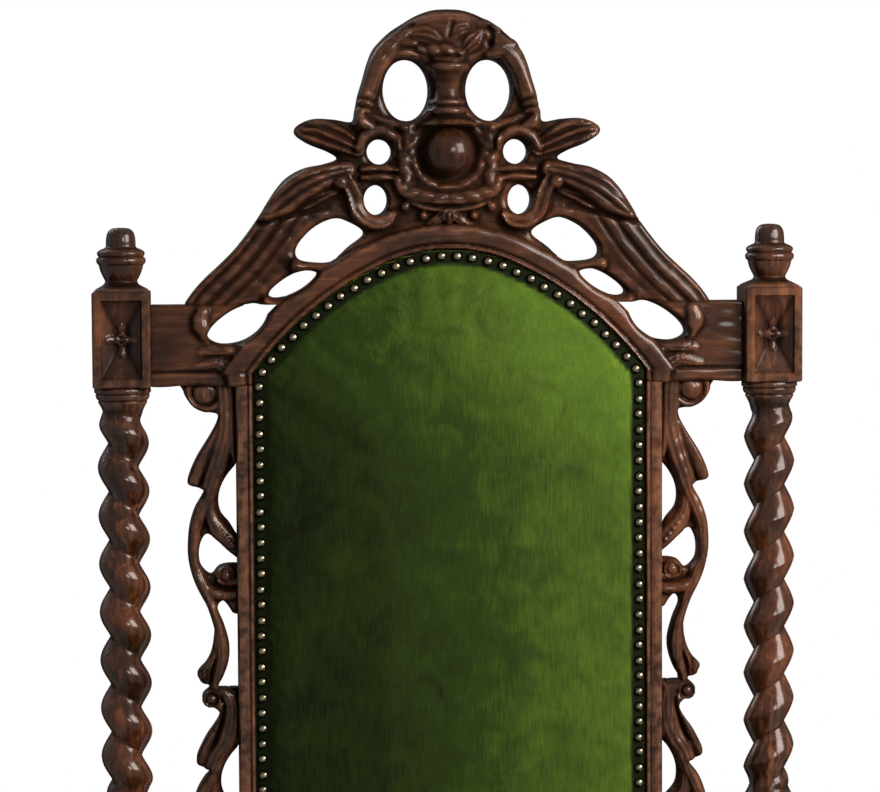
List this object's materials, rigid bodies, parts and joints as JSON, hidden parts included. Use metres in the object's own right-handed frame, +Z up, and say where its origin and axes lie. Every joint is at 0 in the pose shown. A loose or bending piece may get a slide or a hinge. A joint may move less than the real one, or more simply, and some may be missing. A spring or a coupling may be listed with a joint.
{
  "type": "throne chair",
  "caption": "High-backed carved armchair with barley-twist posts, pierced arched crest, scroll frets and nailed velvet back and seat.",
  "frame": {"origin": "on the floor under the middle of the chair's outer box", "axes": "+Z up, the sitter faces -Y, +X to the right of someone looking at the front"},
  "size_m": [0.598, 0.5736, 1.3989],
  "materials": {
    "waxed_wood": "dark stained, waxed, worn lighter on the edges",
    "green_velvet": "short cut pile with vertical nap",
    "aged_brass": "antiqued, polished on the domes",
    "lining_cloth": "plain weave",
    "dust_cloth": "plain weave",
    "jute": "coarse weave",
    "horsehair": "loose fibre"
  },
  "bodies": {
    "root": {"arm_left": "waxed_wood", "arm_right": "waxed_wood", "back_bottom_rail": "waxed_wood", "back_cover": "green_velvet", "back_hessian": "jute", "back_lining": "lining_cloth", "back_nails": "aged_brass", "back_stile_left": "waxed_wood", "back_stile_right": "waxed_wood", "back_stuffing": "horsehair", "back_webbing": "jute", "corner_brace_front_left": "waxed_wood", "corner_brace_front_right": "waxed_wood", "corner_brace_rear_left": "waxed_wood", "corner_brace_rear_right": "waxed_wood", "crest_boss": "waxed_wood", "crest_carving": "waxed_wood", "crest_dowels": "waxed_wood", "crest_rail": "waxed_wood", "finial_left": "waxed_wood", "finial_right": "waxed_wood", "foot_front_left": "waxed_wood", "foot_front_right": "waxed_wood", "foot_rear_left": "waxed_wood", "foot_rear_right": "waxed_wood", "fret_dowels": "waxed_wood", "front_post_left": "waxed_wood", "front_post_right": "waxed_wood", "joint_pegs": "waxed_wood", "rear_post_left": "waxed_wood", "rear_post_right": "waxed_wood", "scroll_fret_lower_left": "waxed_wood", "scroll_fret_lower_right": "waxed_wood", "scroll_fret_upper_left": "waxed_wood", "scroll_fret_upper_right": "waxed_wood", "seat_cover": "green_velvet", "seat_dust_cloth": "dust_cloth", "seat_hessian": "jute", "seat_nails": "aged_brass", "seat_rail_front": "waxed_wood", "seat_rail_left": "waxed_wood", "seat_rail_rear": "waxed_wood", "seat_rail_right": "waxed_wood", "seat_stuffing": "horsehair", "seat_webbing": "jute", "stretcher_cross": "waxed_wood", "stretcher_left": "waxed_wood", "stretcher_right": "waxed_wood"}
  },
  "joints": []
}
